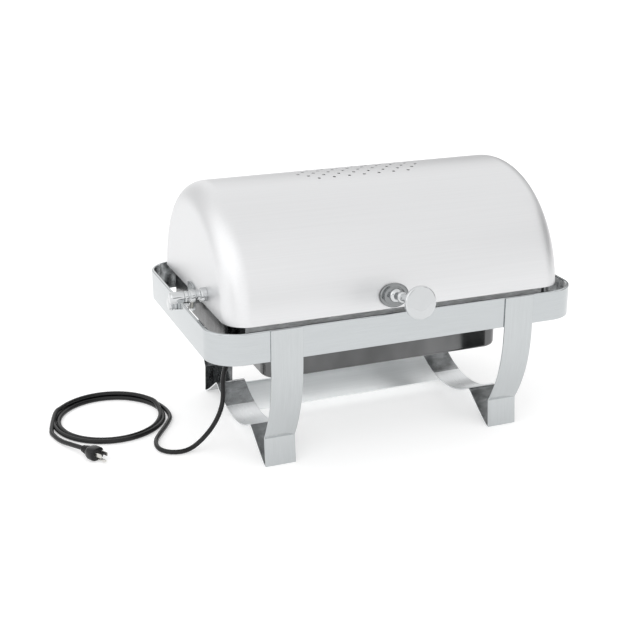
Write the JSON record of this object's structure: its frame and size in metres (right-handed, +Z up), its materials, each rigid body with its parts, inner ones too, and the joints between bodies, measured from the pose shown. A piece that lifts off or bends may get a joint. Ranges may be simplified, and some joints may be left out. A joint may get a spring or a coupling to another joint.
{
  "type": "roll top chafer",
  "caption": "Electric buffet chafer: half-barrel roll top on end pivots over nested pans, banded frame on bent ribbon legs, heater box below, coiled cord.",
  "frame": {"origin": "floor level under the middle of the bounding box, measured without the free cord, its coil and its plug", "axes": "+X to the right along the dome and its pivot line, +Y to the back, +Z up; the knob is on the -Y side"},
  "size_m": [0.8743, 0.5032, 0.437],
  "materials": {
    "polished_steel": "polished stainless steel",
    "satin_steel": "satin stainless steel",
    "pan_steel": "drawn stainless steel",
    "chrome": "bright chrome plate",
    "aluminium": "plain aluminium plate",
    "element_sheath": "oxidised element sheath",
    "insulation": "pressed mineral wool",
    "phenolic": "moulded phenolic",
    "bushing_nylon": "natural nylon",
    "black_rubber": "smooth black cord jacket",
    "nickel_plate": "nickel-plated blades"
  },
  "bodies": {
    "frame": {"frame_band": "polished_steel", "left_front_leg": "polished_steel", "left_rear_leg": "polished_steel", "right_front_leg": "polished_steel", "right_rear_leg": "polished_steel", "left_cross_ribbon": "polished_steel", "right_cross_ribbon": "polished_steel", "cross_shelf": "polished_steel", "pan_carrier": "pan_steel", "left_carrier_bracket": "pan_steel", "right_carrier_bracket": "pan_steel", "left_pivot_pin": "chrome", "right_pivot_pin": "chrome", "left_pivot_spacer": "chrome", "right_pivot_spacer": "chrome", "left_pivot_nut": "chrome", "right_pivot_nut": "chrome", "heater_housing": "polished_steel", "heater_plate": "aluminium", "heater_element": "element_sheath", "insulation_pad": "insulation", "thermostat": "phenolic", "terminal_block": "phenolic", "left_front_heater_strap": "pan_steel", "left_rear_heater_strap": "pan_steel", "right_front_heater_strap": "pan_steel", "right_rear_heater_strap": "pan_steel", "strain_relief": "black_rubber", "cord_run": "black_rubber", "cord_coil": "black_rubber", "cord_tail": "black_rubber", "plug_body": "black_rubber", "plug_blade_line": "nickel_plate", "plug_blade_neutral": "nickel_plate", "plug_ground_pin": "nickel_plate"},
    "dome": {"dome_cover": "satin_steel", "left_dome_lug": "polished_steel", "right_dome_lug": "polished_steel", "left_pivot_bushing": "bushing_nylon", "right_pivot_bushing": "bushing_nylon", "side_post": "chrome", "knob_escutcheon": "chrome", "knob_stem": "chrome", "knob_disc": "chrome", "knob_nut": "chrome"},
    "water_pan_body": {"water_pan": "pan_steel"},
    "food_pan_body": {"food_pan": "pan_steel"}
  },
  "joints": [
    {"name": "dome_roll", "type": "hinge", "parent": "frame", "child": "dome", "pos_m": [0.00875, 0.04486, 0.2395], "axis": [-1, 0, 0], "range_deg": [0, 95]},
    {"name": "water_pan_lift", "type": "slide", "parent": "frame", "child": "water_pan_body", "axis": [0, 0, 1], "range_m": [0, 0.03]},
    {"name": "food_pan_lift", "type": "slide", "parent": "water_pan_body", "child": "food_pan_body", "axis": [0, 0, 1], "range_m": [0, 0.035]}
  ]
}
